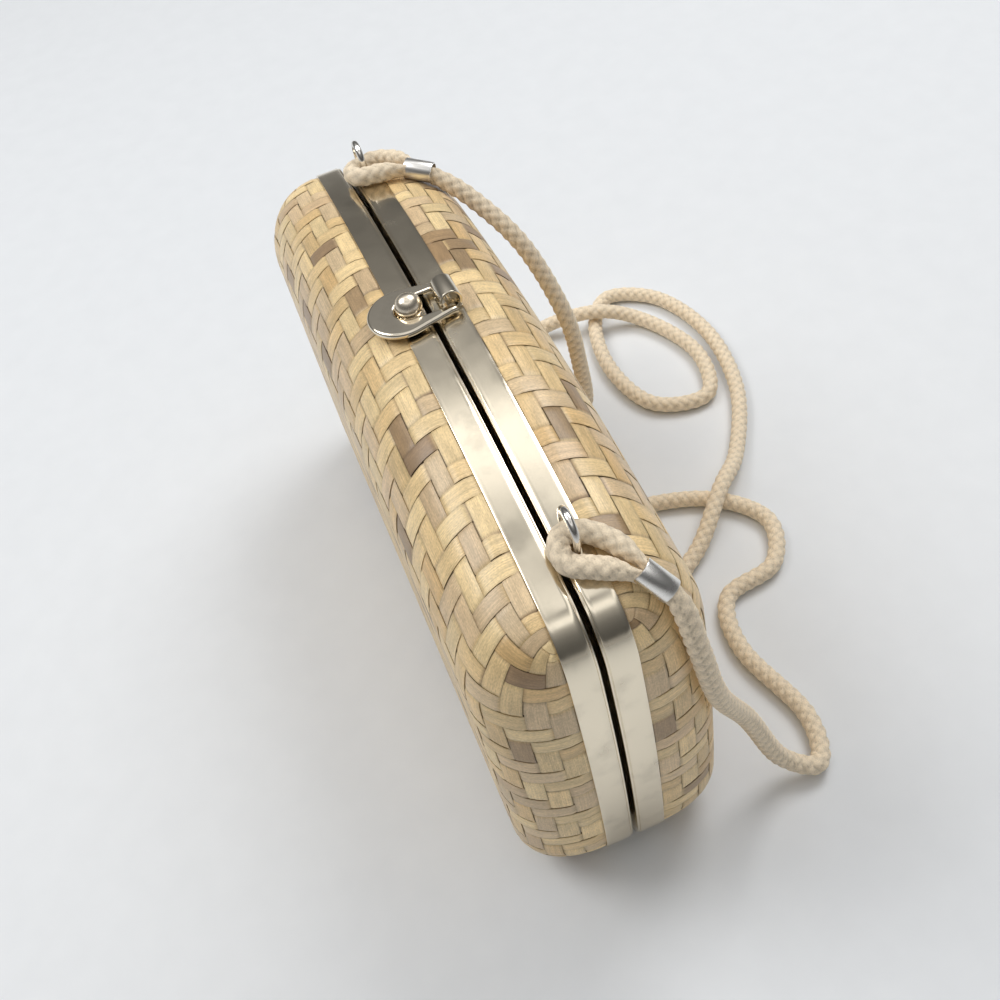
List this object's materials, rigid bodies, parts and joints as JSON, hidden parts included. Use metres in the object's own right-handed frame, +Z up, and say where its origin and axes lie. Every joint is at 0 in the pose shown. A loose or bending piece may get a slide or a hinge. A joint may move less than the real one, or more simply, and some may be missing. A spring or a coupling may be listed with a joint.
{
  "type": "basket box bag",
  "caption": "Hard clamshell evening bag: plaited cane half shells in polished metal channel frames, hinged along the foot, with a tongue latch over a ball stud and a braided cord strap.",
  "frame": {"origin": "middle of the foot, on the surface that the bag stands on, in the parting plane between the two halves", "axes": "+X along the bag, +Y towards the rear half that carries the latch bracket and the strap, +Z up"},
  "size_m": [0.2111, 0.1367, 0.1242],
  "materials": {
    "cane": "lacquered plaited strips",
    "board": "moulded board",
    "lining": "satin",
    "frame_metal": "polished pale gilt",
    "fitting_metal": "polished nickel",
    "cord": "braided cotton"
  },
  "bodies": {
    "rear": {"rear_weave": "cane", "rear_board": "board", "rear_lining": "lining", "rear_frame": "frame_metal", "hinge_leaf_rear": "frame_metal", "hinge_pin": "fitting_metal", "latch_bracket": "fitting_metal", "strap_eye_near": "fitting_metal", "strap_eye_far": "fitting_metal", "ferrule_near": "fitting_metal", "ferrule_far": "fitting_metal", "strap_cord": "cord", "strap_loop_near": "cord", "strap_loop_far": "cord"},
    "front": {"front_weave": "cane", "front_board": "board", "front_lining": "lining", "front_frame": "frame_metal", "hinge_leaf_front": "frame_metal", "clasp_stud": "fitting_metal"},
    "latch": {"latch_plate": "fitting_metal"}
  },
  "joints": [
    {"name": "bag_open", "type": "hinge", "parent": "rear", "child": "front", "pos_m": [0, 0, 0.0015], "axis": [1, 0, 0], "range_deg": [0, 100]},
    {"name": "latch_lift", "type": "hinge", "parent": "rear", "child": "latch", "pos_m": [0, 0.0054, 0.1196], "axis": [-1, 0, 0], "range_deg": [0, 110]}
  ]
}
